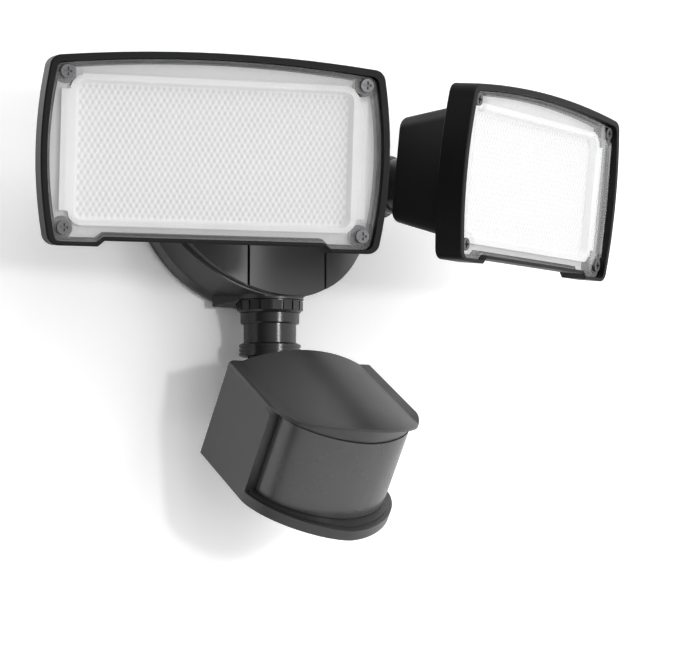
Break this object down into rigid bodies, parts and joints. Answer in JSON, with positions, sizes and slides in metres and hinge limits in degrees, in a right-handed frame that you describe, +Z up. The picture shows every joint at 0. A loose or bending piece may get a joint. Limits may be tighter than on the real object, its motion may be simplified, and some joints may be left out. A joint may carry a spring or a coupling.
{
  "type": "motion sensor security light",
  "caption": "Wall mounted security light: a rounded canopy carries rectangular lamp heads on jointed arms and a hooded motion sensor below on its own swivel neck.",
  "frame": {"origin": "centre of the canopy's round lower outline on its mounting face, midway between the box screw slots, on the wall plane", "axes": "+Y into the wall, -Y forwards out of the wall, +X to the right seen from the front, +Z up"},
  "size_m": [0.2833, 0.1216, 0.1918],
  "materials": {
    "dark_body": "fine matte texture",
    "dark_arm": "satin",
    "head_shell": "fine matte texture",
    "bolt_black": "black oxide",
    "screw_steel": "zinc plated",
    "zinc_steel": "zinc plated",
    "foam": "closed cell foam",
    "rubber": "matte",
    "clear_cover": "clear",
    "white_frame": "satin white",
    "light_panel": "prismatic white",
    "circuit_board": "lacquered board",
    "led": "phosphor",
    "aluminium": "mill finish",
    "driver_case": "plain",
    "infrared_window": "gloss"
  },
  "bodies": {
    "canopy": {"wall_gasket": "foam", "mounting_plate": "zinc_steel", "ground_screw": "screw_steel", "canopy_base": "dark_body", "cover_seals": "foam", "front_cover": "dark_body", "center_strip": "dark_body", "mounting_screws": "screw_steel", "cover_screws": "screw_steel", "led_driver": "driver_case", "control_board": "circuit_board", "inlet_grommet": "rubber", "collar_left": "dark_arm", "collar_right": "dark_arm", "collar_sensor": "dark_arm"},
    "arm_left_tube": {"arm_left": "dark_arm"},
    "arm_right_tube": {"arm_right": "dark_arm"},
    "arm_sensor_tube": {"arm_sensor": "dark_arm"},
    "head_left": {"housing_left": "head_shell", "lens_left": "clear_cover", "gasket_left": "foam", "lens_screws_left": "screw_steel", "reflector_left": "white_frame", "diffuser_left": "light_panel", "led_board_left": "circuit_board", "led_array_left": "led", "heat_plate_left": "aluminium", "board_screws_left": "screw_steel", "bolt_left": "bolt_black", "nut_left": "bolt_black"},
    "head_right": {"housing_right": "head_shell", "lens_right": "clear_cover", "gasket_right": "foam", "lens_screws_right": "screw_steel", "reflector_right": "white_frame", "diffuser_right": "light_panel", "led_board_right": "circuit_board", "led_array_right": "led", "heat_plate_right": "aluminium", "board_screws_right": "screw_steel", "bolt_right": "bolt_black", "nut_right": "bolt_black"},
    "sensor": {"sensor_housing": "dark_body", "sensor_roof": "dark_body", "sensor_lens": "infrared_window", "sensor_back": "dark_body", "sensor_board": "circuit_board", "sensor_screws": "screw_steel", "bolt_sensor": "bolt_black", "nut_sensor": "bolt_black"}
  },
  "joints": [
    {"name": "head_left_swivel", "type": "hinge", "parent": "canopy", "child": "arm_left_tube", "pos_m": [-0.0629, -0.05085, -0.0062], "axis": [-0.3474, -0.9377, 0], "range_deg": [-80, 80]},
    {"name": "head_left_tilt", "type": "hinge", "parent": "arm_left_tube", "child": "head_left", "pos_m": [-0.0629, -0.05085, -0.0062], "axis": [0.9377, -0.3474, 0], "range_deg": [-50, 40]},
    {"name": "head_right_swivel", "type": "hinge", "parent": "canopy", "child": "arm_right_tube", "pos_m": [0.0629, -0.05085, -0.0062], "axis": [0.3474, -0.9377, 0], "range_deg": [-80, 80]},
    {"name": "head_right_tilt", "type": "hinge", "parent": "arm_right_tube", "child": "head_right", "pos_m": [0.0629, -0.05085, -0.0062], "axis": [0.9377, 0.3474, 0], "range_deg": [-50, 40]},
    {"name": "sensor_swivel", "type": "hinge", "parent": "canopy", "child": "arm_sensor_tube", "pos_m": [0, -0.0175, -0.089], "axis": [0, 0, 1], "range_deg": [-30, 30]},
    {"name": "sensor_tilt", "type": "hinge", "parent": "arm_sensor_tube", "child": "sensor", "pos_m": [0, -0.0175, -0.089], "axis": [0.9986, -0.0523, 0], "range_deg": [-30, 25]}
  ]
}
